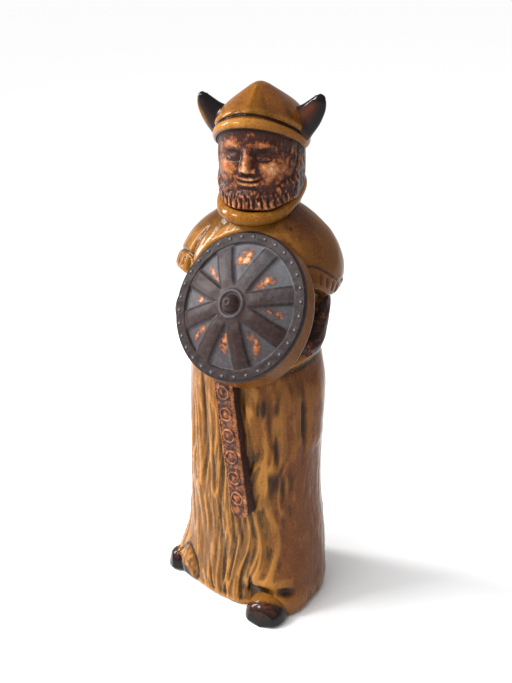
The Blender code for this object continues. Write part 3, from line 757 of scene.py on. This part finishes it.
def helmetSkin(phi, z):
    # cone on a plan stretched forward and back, with a front ridge, a half-round band, a groove and a lip
    dome = through(headShape["dome"], 1, z)
    stretch = np.where(np.cos(phi) > 0, 1.07, 1.14)
    plan = 1 / np.sqrt(np.sin(phi) ** 2 + (np.cos(phi) / stretch) ** 2)
    ridge = 1.2 * turnBell(phi, 0, 8) * span(z, 284, 289, 300, 297)
    over = z - bandLow(phi)
    roll = 1.9 * np.sqrt(held(1 - ((over - 2.7) / 2.7) ** 2))
    return dome * plan + ridge + roll - 0.8 * bell(over - 6.1, 0.7) + 0.75 * bell(over - 9, 2)


def makeHead():
    # rings about the head's own axis, dense over the face; the band's rings follow its arched edge
    h = headShape
    half = radians(80)
    phi = np.concatenate([np.linspace(-half, half, h["frontColumns"], endpoint=False),
                          np.linspace(half, 2 * pi - half, h["backColumns"], endpoint=False)])
    phi = turnedGap(phi)[None, :]
    low = bandLow(phi)
    zSkin = h["foot"] + (low - h["foot"]) * np.linspace(0, 0.998, h["skinRows"])[:, None]
    ease = (0.5 - 0.5 * np.cos(np.linspace(0, pi, h["bandRows"])))[:, None]
    zBand = low + np.clip(h["bandHeight"] * ease, 0.02, h["bandHeight"])
    bandTop = low + h["bandHeight"]
    zDome = bandTop + (h["top"] - bandTop) * np.linspace(0.03, 1, h["domeRows"])[:, None]
    parts = ((headSkin, zSkin), (helmetSkin, zBand), (helmetSkin, zDome))
    points = np.concatenate([headPlace(phi, form(phi, rise), rise) for form, rise in parts])
    z = np.concatenate([zSkin, zBand, zDome])
    p = np.abs(np.degrees(phi)) + 0 * z
    skin = np.zeros(z.shape)
    skin[:h["skinRows"]] = 1
    bare = skin * ramp(112, 98, p + 5 * valueNoise(p / 9, z / 5, 8))
    relief = reliefOf(points, True, (2, 5)) * (2.2 - 0.7 * skin)
    top, beardLow = beardEdges(p)
    mottle = ramp(0.05, 0.75, valueNoise(np.degrees(phi) / 12 + 50, z / 4.2, 52)) * ramp(6.5, 9, z - low)
    shade = 0.45 * bell(turnedGap(phi, 24), 0.3) * bell(z - 287.5, 3.4)
    pool_and_shade = (1 - skin) * most(0.95 * bell(z - low - 6.1, 1), 0.8 * ramp(0.9, 0.1, z - low), shade,
                             0.42 * mottle * turnRamp(0, 22, phi))
    lift = relief + 0.24 * (1 - skin) * bell(z - low - 2.8, 2.2)
    plain = 1 - 0.9 * ramp(267.5, 270.5, z) * ramp(17, 11, p)          # the middle of the forehead
    worn = 0.34 + 1.6 * np.clip(relief, -0.25, 0.45) * plain + bumps(h["rubbed"], p, z)
    worn = worn + 0.35 * bell(turnedGap(phi, 32), 0.2) * bell(z - 262, 3)
    worn = worn - 0.4 * ramp(low - 5.5, low - 0.5, z) - 0.25 * ramp(62, 80, p)
    worn = worn - 0.8 * ramp(beardLow + 0.4, beardLow - 1.6, z) - 0.22 * ramp(top + 0.5, top - 1, z)
    worn = worn + 0.28 * bell(z - beardLow - 2.4, 1.8) * (relief > 0) * ramp(56, 42, p)
    # flank paints a reddish shade on the helmet, strongest on its side turned from the lights
    flank = (0.15 + 0.55 * turnRamp(6, 34, phi)) * (1 - skin)
    masks = {"relief": lift, "pool_and_shade": pool_and_shade, "flank": flank, "bare": bare, "worn": skin * worn, "warm": 1,
             "sheen": skin}
    return gridPiece("head_and_helmet", points, masks)


# Collar, horns, forearms and shoes

collarShape = {"thickness": 6.4, "around": 260, "across": 40, "turn": headTurn * 0.8}
hornShape = {
    "around": 56, "along": 60, "flatten": 0.62,
    # distance out, height, half breadth
    "stations": [(12, 276.8, 9), (18.5, 279, 8.8), (23.4, 281.8, 7.6), (27.2, 285.6, 6),
                 (29.6, 289.2, 4.6), (30.6, 291.6, 3.3), (31, 293.4, 1.9), (31, 294.2, 0.3)],
}
# place and radius of each forearm's stations, from the sleeve to behind the shield
armShape = {
    1: {"name": "forearm_left",
        "stations": [(32, 9, 199, 6.2), (35, 6, 190, 6.6), (39, -2, 181, 6.4),
                     (42.5, -11, 175, 6), (43.5, -18, 173, 4.6)]},
    -1: {"name": "forearm_right",
         "stations": [(-33, 4, 202, 6.5), (-35, -1, 193, 6.8), (-34, -12, 184, 6.8),
                      (-30, -22, 179, 6.8), (-26, -29, 178, 5)]},
}
shoeShape = {
    1: {"name": "shoe_left", "heel": (22.4, -4), "toe": (28.3, -29.6), "width": 12.4},
    -1: {"name": "shoe_right", "heel": (-30, 6), "toe": (-51.5, -14.5), "width": 9},
}


def collarPath(count=120):
    # oval about the neck, lowest in front, climbing with the cosine of the turn to the hood behind
    phi = fullTurn(count)
    c = np.cos(phi)
    out = 18.6 + 4.2 * c * c * np.where(c > 0, 1.1, 0.6)
    turn = phi + collarShape["turn"]
    z = 242.5 - 7.5 * c + 2.2 * bell(turnedGap(phi, 112), 0.6)
    return np.stack([0.3 + out * np.sin(turn), 1 - out * np.cos(turn), z], axis=1)


def swept(path, breadth, side, top, a):
    # rings across a path: the path's point plus breadth times (side * cos a + top * sin a)
    ring = np.cos(a)[None, :, None] * side[:, None, :] + np.sin(a)[None, :, None] * top[:, None, :]
    return path[:, None, :] + breadth[:, :, None] * ring


def makeCollar():
    # a roll swept along the collar's oval, thicker on its left, with a fine groove along the inner edge
    n = collarShape["around"]
    phi = fullTurn(n)
    turn = phi + collarShape["turn"]
    away = np.stack([np.sin(turn), -np.cos(turn), 0 * turn], axis=1)
    thick = collarShape["thickness"] / 2 * (1 + 0.45 * bell(turnedGap(phi, 125), 0.6))
    thick = thick * (1 + 0.05 * valueNoise(phi * 3, phi * 0 + 2, 5))
    a = fullTurn(collarShape["across"])
    groove = 1 - 0.13 * bell(turnedGap(a, 118), 0.22)
    points = swept(collarPath(n), thick[:, None] * groove[None, :], away, np.array([[0, 0, 1.15]]), a)
    # darker on the inner and under side, pooled glaze and painted shade where the roll meets beard and chest;
    # relief lightens the upper outer side and darkens the under side
    pool_and_shade = most(0.7 * ramp(0, -0.7, np.cos(a)), 0.75 * ramp(-0.55, -0.95, np.sin(a)))
    masks = {"relief": 0.22 * np.sin(a + 0.6)[None, :], "pool_and_shade": pool_and_shade[None, :]}
    return gridPiece("collar_roll", points, masks, closed=True)


def tubeGrid(path, breadth, forward, flatten, around):
    # rings square to a path, squeezed along the forward direction
    along = unit(np.gradient(path, axis=0))
    side = unit(np.cross(along, forward))
    a = fullTurn(around)
    return swept(path, breadth[:, None], side, flatten * np.cross(side, along), a), a


def curveThrough(stations, count, tipEase=1):
    # smooth curve through the stations, by the distance along their places; denser toward the end
    s = np.asarray(stations, float)
    d = np.concatenate([[0], np.cumsum(np.linalg.norm(np.diff(s[:, :-1], axis=0), axis=1))])
    at = d[-1] * (1 - (1 - np.linspace(0, 1, count)) ** tipEase)
    table = np.concatenate([d[:, None], s], axis=1)
    return np.stack([through(table, k, at) for k in range(1, table.shape[1])], axis=1), at


def makeHorn(side):
    # a tapering tube, flared at the helmet and dished in front; the right one has a pale glint along its side
    curve, _ = curveThrough(hornShape["stations"], hornShape["along"], 1.6)
    out = curve[:, :1]
    path = headPlace(np.full(len(curve), side * pi / 2), curve[:, 0], curve[:, 1])
    forward = np.array([sin(headTurn), -cos(headTurn), 0])
    breadth = curve[:, 2] + 1.6 * bell(curve[:, 0] - 19.5, 2.4)
    points, a = tubeGrid(path, breadth, forward, hornShape["flatten"], hornShape["around"])
    across, facing = np.cos(a)[None, :], np.sin(a)[None, :]
    dish = 0.9 * bell(facing - 1, 0.45) * span(out, 20, 24, 31.2, 29)
    points = points - dish[:, :, None] * forward
    worn = bell(facing - 1, 0.5) * bell(across + 0.35, 0.55) * span(out, 18, 22, 31, 28)
    glint = (side < 0) * bell(across + 0.8, 0.22) * (facing > 0) * bell(out - 27.2, 3)
    dark = ramp(18.5, 22, out) * (1 - 0.85 * glint)
    masks = {"relief": 0.9 * glint, "pool_and_shade": 0.7 * (1 - dark), "dark": dark,
             "worn": worn * (0.95 if side > 0 else 0.1)}
    return gridPiece("horn_left" if side > 0 else "horn_right", points, masks)


def makeForearm(side):
    # a round tube through the stations, with pleats of 0.1 sin(8 angle + distance / 4)
    curve, at = curveThrough(armShape[side]["stations"], 70)
    points, a = tubeGrid(curve[:, :3], curve[:, 3], np.array([0, 0, 1]), 1, 56)
    pleats = 0.1 * np.sin(8 * a[None, :] + 0.25 * at[:, None])
    n = gridNormals(points, True)
    outward = 1 if np.sum(n[30, 0] * (points[30, 0] - curve[30, :3])) > 0 else -1
    points = points + pleats[:, :, None] * n * outward
    masks = {"relief": reliefOf(points, True, (2, 4)) * 1.2, "bare": 1, "worn": 0.36, "warm": 1, "sheen": 0.6}
    return gridPiece(armShape[side]["name"], points, masks)


def makeShoe(side):
    # rings across the foot's axis, rounded off at the toe, flat below and domed above
    shoe = shoeShape[side]
    heel, toe = np.array(shoe["heel"]), np.array(shoe["toe"])
    along = unit(toe - heel)
    share = (1 - (1 - np.linspace(0, 1, 90)) ** 1.7)[:, None]
    body = np.sqrt(held(1 - (held(share - 0.55) / 0.45) ** 2.2))
    tip = held((1 - share) / 0.05) ** 0.5
    a = fullTurn(90)[None, :]
    lateral = np.cos(a) * shoe["width"] * (0.3 + 0.7 * body) * (0.9 + 0.1 * share) * tip
    x = heel[0] + (toe - heel)[0] * share - along[1] * lateral
    y = heel[1] + (toe - heel)[1] * share + along[0] * lateral
    high = (2.6 + 9.6 * body) * tip
    z = 0.2 + np.where(np.sin(a) > 0, 2.2 + high * np.abs(np.sin(a)) ** 0.9, 2.2 * (1 + np.sin(a)))
    points = np.stack([x, y, z], axis=2)
    dark = toeCap(points, side)
    seam = bell(pastSeam(points, side), 0.7)
    points = points - 0.25 * (seam * (np.sin(a) > 0))[:, :, None] * np.array([0, 0, 1])
    worn = 0.6 * ramp(0.35, 0.95, np.sin(a)) * bell(share - 0.8, 0.14)
    worn = worn * (1 + 0.9 * valueNoise(9 * np.cos(a), 30 * share, 17))
    masks = {"relief": 0.12 * (1 - dark), "pool_and_shade": 0.8 * seam * (1 - dark), "dark": dark, "worn": worn,
             "gold": 0.8}
    return gridPiece(shoe["name"], points, masks)


# Shield

shieldShape = {
    "radius": 38.5, "inner": 32.7, "rim": 5.8, "wall": 6.5, "skirt": 6.5, "dome": 7.5,
    "bossRadius": 4.7, "bossRise": 4.2,
    "spokeTurns": (-153, -112, -66, -18, 23.5, 73, 125, 166),
    "spokeWidth": 9.8, "panelDepth": 1.25, "rivets": 32, "rivetRadius": 0.85,
    "tilt": radians(28), "centre": (15, -36.1, 194.8), "columns": 480,
    # first share and count of the rows round the edge, down the wall, turned in and closed behind
    "rows": ((0.15, 8), (0.08, 16), (0.12, 10), (0.1, 8)), "edge": 0.7, "drop": 1.1, "turnIn": 2.2,
}


def shieldPlace(angle, r, height):
    # polar position on the shield's tilted plane, lifted along its normal
    tilt = shieldShape["tilt"]
    normal = np.array([0, -cos(tilt), sin(tilt)])
    across = np.array([1, 0, 0])
    u, v, h = (w[..., None] for w in np.broadcast_arrays(r * np.cos(angle), r * np.sin(angle), height))
    return np.array(shieldShape["centre"]) + u * across + v * np.cross(normal, across) + h * normal


def wallDepth(angle):
    # the skirt grows toward the lower side
    return shieldShape["wall"] + shieldShape["skirt"] * turnBell(angle, -68, 48)


def shieldBack():
    # points round the wall's lower edge
    angle = fullTurn(72)
    return shieldPlace(angle, shieldShape["radius"], -wallDepth(angle))


def spokeGap(angle):
    # angle to the middle of the nearest spoke
    return np.min([np.abs(turnedGap(angle, turn)) for turn in shieldShape["spokeTurns"]], axis=0)


def panelMask(angle, r):
    # 1 inside the sunk wedges between the spokes, the boss and the rim
    s = shieldShape
    inner = s["inner"]
    edge = np.minimum(s["spokeWidth"] * (0.62 + 0.38 * r / s["radius"]) / 2 / r, radians(18))
    deep = span(r, s["bossRadius"] * 1.9, s["bossRadius"] * 2.6, inner + 0.2, inner - 1.2)
    return deep * ramp(-0.6, 1.9, (spokeGap(angle) - edge) * r)


def rivetGap(angle, r):
    # distance from the nearest stud's centre
    s = shieldShape
    turn = 2 * pi / s["rivets"]
    return np.hypot((angle % turn - turn / 2) * r, r - (s["radius"] - s["rim"] * 0.45))


def roundTop(gap, radius):
    # half a ball's height: sqrt(1 - (gap / radius)^2), 0 beyond the radius
    return np.sqrt(held(1 - (gap / radius) ** 2))


def shieldRelief(angle, r):
    # dome, sunk panels, raised spokes with soft crowns, studded rim and a dimpled boss
    s = shieldShape
    inner = s["inner"]
    dome = s["dome"] * held(1 - (r / inner) ** 2) - s["panelDepth"] * panelMask(angle, r)
    crown = 0.5 * bell(spokeGap(angle) * r, 3.4) * span(r, 9, 14, inner, inner - 3)
    boss = s["bossRise"] * roundTop(r, s["bossRadius"]) - 0.9 * bell(r, 1)
    ring = 0.9 * bell(r - s["bossRadius"] * 1.42, 0.75)
    lip = 0.6 * ramp(inner - 0.6, inner + 0.4, r)
    return dome + crown + boss + ring + lip + 0.5 * roundTop(rivetGap(angle, r), s["rivetRadius"])


def makeShield():
    # rings from the middle over the edge, down a wall that widens a tenth of its depth, then turned in and
    # drawn together far behind; stain on the face, glaze on the rest
    s = shieldShape
    angle = fullTurn(s["columns"])[None, :]
    radius, inner, deep = s["radius"], s["inner"], wallDepth(angle)
    r = np.concatenate([np.linspace(0.25, 9.5, 26), np.linspace(10, inner - 1.2, 42),
                        np.linspace(inner - 0.95, radius - s["edge"], 34)])[:, None]
    u, v = r * np.cos(angle), r * np.sin(angle)
    edge, down, turnIn, neck = (np.linspace(first, 1, count)[:, None] for first, count in s["rows"])
    quarter = pi / 2
    back, end = -deep - s["turnIn"], -s["wall"] - s["skirt"] - 21
    points = np.concatenate([
        shieldPlace(angle, r, shieldRelief(angle, r) + 0.12 * valueNoise(u / 3 + 9, v / 3 + 9, 6)),
        shieldPlace(angle, radius - s["edge"] * (1 - np.sin(edge * quarter)),
                    -s["drop"] * (1 - np.cos(edge * quarter))),
        shieldPlace(angle, radius + 0.1 * deep * down, -s["drop"] - (deep - s["drop"]) * down),
        shieldPlace(angle, radius * 0.97 + (0.1 * deep + 0.03 * radius) * np.cos(turnIn * quarter),
                    -deep - s["turnIn"] * np.sin(turnIn * quarter)),
        shieldPlace(angle, radius * (0.97 - 0.31 * neck), back * (1 - neck) + end * neck)])

    def onFace(mask):
        # the mask on the rows of the face, 0 on the rest
        whole = np.zeros(points.shape[:2])
        whole[:len(r)] = mask
        return whole

    front = onFace(1)
    front[len(r):len(r) + len(edge)] = 1
    front[len(r) + len(edge)] = 0.6
    panel = onFace(panelMask(angle, r))
    streaks = valueNoise(u / 2.3 + 20, v / 2.3 + 20, 41) + 0.6 * valueNoise(u + 40, v + 40, 42)
    spots = bell(r - 22 - 3 * np.sin(5 * angle), 5.6) * turnRamp(12.5, 21, spokeGap(angle))
    spots = onFace(spots * (0.74 + 0.5 * streaks))
    # studs: pale heads, part patina and part painted glint
    studs = onFace(ramp(s["rivetRadius"], s["rivetRadius"] * 0.55, rivetGap(angle, r)))
    # halo: a pale ring round the boss, part wear and part painted highlight
    halo = onFace(bell(r - s["bossRadius"] * 1.42, 0.6))
    rim = onFace(ramp(inner - 0.5, inner + 0.8, r))
    # painted reflection: the face grows paler toward its top, where it mirrors the bright surroundings
    high = onFace(ramp(2, 30, v + 0.3 * u))
    # groove: dark lines along the panels' edges, oxide in the crevices and painted shade
    groove = bell(panel - 0.35, 0.3) * onFace(span(r, 9, 12, inner, inner - 2))
    relief = reliefOf(points, True, (1, 3)) * 2 * (1 - onFace(0.7 * ramp(11, 8, r)))
    relief = relief - 0.16 * groove + 0.5 * studs - 0.22 * rim * (1 - studs)
    pool_and_shade = (1 - front) * 0.2
    pool_and_shade[-len(turnIn) - len(neck):] = 0.7
    # pale: patina on the panels, pale studs and boss ring, the painted reflection toward the top, less on the
    # rim
    pale = 0.3 * panel + 1.1 * studs - 0.25 * rim + 0.6 * halo + 0.28 * high * (1 - 0.6 * rim)
    pale = held(pale) * (1 - 0.8 * held(spots) * panel)
    masks = {"relief": relief, "pool_and_shade": pool_and_shade, "flank": 0.4, "bare": front, "worn": 1.45 * panel * spots - 0.24,
             "warm": 0.12 * (1 - panel) + panel * held(1.6 * spots), "pale": pale, "sheen": 0.5}
    return gridPiece("shield", points, masks)


# Scabbard

scabbardShape = {
    "tip": np.array([14.6, -31.2, 68.5]), "upper": np.array([2.2, -32.8, 148.5]), "length": 88, "width": 12.8,
    "rise": 6.2, "rings": 6, "ringRadius": 3.6, "rows": 300, "tipRows": 30, "columns": 110,
    "tipLength": 6.2, "tipPower": 2.6, "flat": 0.62, "lean": 0.93,
}


def scabbardFrame():
    # along from tip to upper end, a normal that is -Y made square to it, and across both
    s = scabbardShape
    along = unit(s["upper"] - s["tip"])
    normal = np.array([0, -1, 0])
    normal = unit(normal - along * np.dot(normal, along))
    return along, np.cross(along, normal), normal


def scabbardEdge():
    # points along both lower edges: half a width to either side, one rise down
    along, across, normal = scabbardFrame()
    s = scabbardShape
    middle = s["tip"] + np.linspace(0, s["length"], 60)[:, None] * along - normal * s["rise"]
    return np.concatenate([middle + across * s["width"] / 2, middle - across * s["width"] / 2])


def makeScabbard():
    # flat face that drops away at its sides, swept up from a round tip; rings, dots and a beaded edge are
    # bells over their distance
    s = scabbardShape
    along, across, normal = scabbardFrame()
    t = np.concatenate([s["tipLength"] * (1 - np.cos(np.linspace(0.12, pi / 2, s["tipRows"]))),
                        np.linspace(6.5, s["length"], s["rows"] - s["tipRows"])])[:, None]
    left = 1 - np.minimum(t, s["tipLength"]) / s["tipLength"]
    end = held(1 - left ** s["tipPower"]) ** (1 / s["tipPower"])
    half = s["width"] / 2 * (0.88 + 0.12 * t / s["length"]) * end
    q = np.linspace(-1, 1, s["columns"])[None, :]
    out, flat = np.abs(q), np.abs(q) < s["flat"]
    drop = held(out - s["flat"]) / (1 - s["flat"])        # 0 on the flat, running to 1 down the side
    side = s["lean"] + (1 - s["lean"]) * np.minimum(drop / 0.12, 1) ** 0.6
    reach = np.where(flat, out / s["flat"] * s["lean"], side)
    width = half * np.sign(q) * reach
    height = 0.4 * bell(reach, 0.7) * flat - (s["rise"] + 5) * held(drop) ** 1.25
    on = out < 0.6
    for i in range(s["rings"]):
        gap = np.hypot(width, t - 12 - (s["length"] - 18) * i / (s["rings"] - 0.4))
        height = height + on * (0.62 * bell(gap - s["ringRadius"], 0.62) + 0.6 * bell(gap, 1))
    beads = 0.5 + 0.5 * np.cos(2 * pi * t / 1.7)
    height = height + on * (0.25 * ramp(0.7, 0.86, reach) + 0.2 * beads * bell(reach - 0.8, 0.07))
    height = height + 0.1 * valueNoise(width / 1.6 + 30, t / 1.8, 12)
    points = s["tip"] + t[:, :, None] * along + width[:, :, None] * across + height[:, :, None] * normal
    relief = reliefOf(points, False, (1, 3)) * 1.6
    front = ramp(0.7, 0.61, out)
    rubbed = 0.46 + 1.8 * np.clip(relief, -0.3, 0.35) + 0.35 * ramp(0.86, 0.95, reach)
    worn = front * rubbed + (1 - front) * 0.02
    masks = {"relief": relief * front * 0.8, "bare": 1, "worn": worn, "warm": 0.55, "sheen": 0.4}
    return gridPiece("scabbard", points, masks)


pieces = [makeBody(), makeHead(), makeCollar()]
pieces += [make(side) for make in (makeHorn, makeForearm, makeShoe) for side in (1, -1)]
pieces += [makeShield(), makeScabbard()]
print("pieces", len(pieces))


# Floor, light and camera

studio = {
    "floorHalf": 12, "floorColour": (0.97, 0.97, 0.97), "floorRoughness": 0.7,
    "worldColour": (1, 1, 1), "worldStrength": 0.49,
    "sunPower": 2.3, "sunSpread": 60, "sunAzimuth": -26, "sunHeight": 52,
    "aim": (0, 0, 0.17),
    # upright soft lights on the viewer's left: power, width and height, place
    "windows": {"windowLight": (5.5, (0.1, 0.4), (-0.6, -0.26, 0.46)),
                "frontLight": (2.8, (0.15, 0.12), (-0.3, -0.46, 0.6))},
}
cameraView = {
    "azimuth": 36, "pitch": 23.1, "roll": 1.35, "distance": 0.54, "height": 0.39,
    "focalPixels": 1075, "pixelsWide": 512, "sensor": 36,
}


def turned(degrees, axis):
    # rotation about one axis, in degrees
    return Matrix.Rotation(radians(degrees), 4, axis)


def makeFloor():
    # one square about the origin, plain and pale
    n = studio["floorHalf"]
    mesh = bpy.data.meshes.new("studio_floor")
    mesh.from_pydata([(-n, -n, 0), (n, -n, 0), (n, n, 0), (-n, n, 0)], [], [(0, 1, 2, 3)])
    material = bpy.data.materials.new("paleFloor")
    material.use_nodes = True
    shader = material.node_tree.nodes["Principled BSDF"]
    shader.inputs["Base Color"].default_value = (*studio["floorColour"], 1)
    shader.inputs["Roughness"].default_value = studio["floorRoughness"]
    mesh.materials.append(material)
    floor = linked("studio_floor", mesh)


def areaLight(name, power, size, place, aim):
    # a soft light at place, upright, turned so that its -Z looks at aim
    data = bpy.data.lights.new(name, "AREA")
    data.energy = power
    data.shape = "RECTANGLE"
    data.size, data.size_y = size
    z = unit(np.array(place) - np.array(aim))
    x = unit(np.cross([0, 0, 1], z))
    rows = np.stack([x, np.cross(z, x), z, np.array(place)], axis=1)
    linked(name, data).matrix_world = Matrix([*rows, (0, 0, 0, 1)])


def makeStudio():
    # floor, even white world, the upright lights and one wide sun that the glaze doesn't mirror
    makeFloor()
    world = bpy.data.worlds.new("studioWorld")
    world.use_nodes = True
    background = world.node_tree.nodes["Background"]
    background.inputs["Color"].default_value = (*studio["worldColour"], 1)
    background.inputs["Strength"].default_value = studio["worldStrength"]
    bpy.context.scene.world = world
    bpy.context.scene.view_settings.view_transform = "Standard"
    for name, (power, size, place) in studio["windows"].items():
        areaLight(name, power, size, place, studio["aim"])
    sun = bpy.data.lights.new("softSun", "SUN")
    sun.energy = studio["sunPower"]
    sun.angle = radians(studio["sunSpread"])
    lamp = linked("softSun", sun)
    lamp.visible_glossy = False
    lamp.matrix_world = turned(studio["sunAzimuth"], "Z") @ turned(90 - studio["sunHeight"], "X")


def makeCamera():
    # at the distance and height round the figure's axis, pitched down and rolled; lens from pixels
    v = cameraView
    data = bpy.data.cameras.new("photoCamera")
    data.sensor_fit = "HORIZONTAL"
    data.sensor_width = v["sensor"]
    data.lens = v["focalPixels"] / v["pixelsWide"] * v["sensor"]
    data.clip_start = 0.01
    camera = linked("photoCamera", data)
    a = radians(v["azimuth"])
    place = Matrix.Translation((v["distance"] * sin(a), -v["distance"] * cos(a), v["height"]))
    facing = turned(v["azimuth"], "Z") @ turned(90 - v["pitch"], "X") @ turned(v["roll"], "Z")
    camera.matrix_world = place @ facing
    bpy.context.scene.camera = camera


makeStudio()
makeCamera()
print("studio and camera ready")
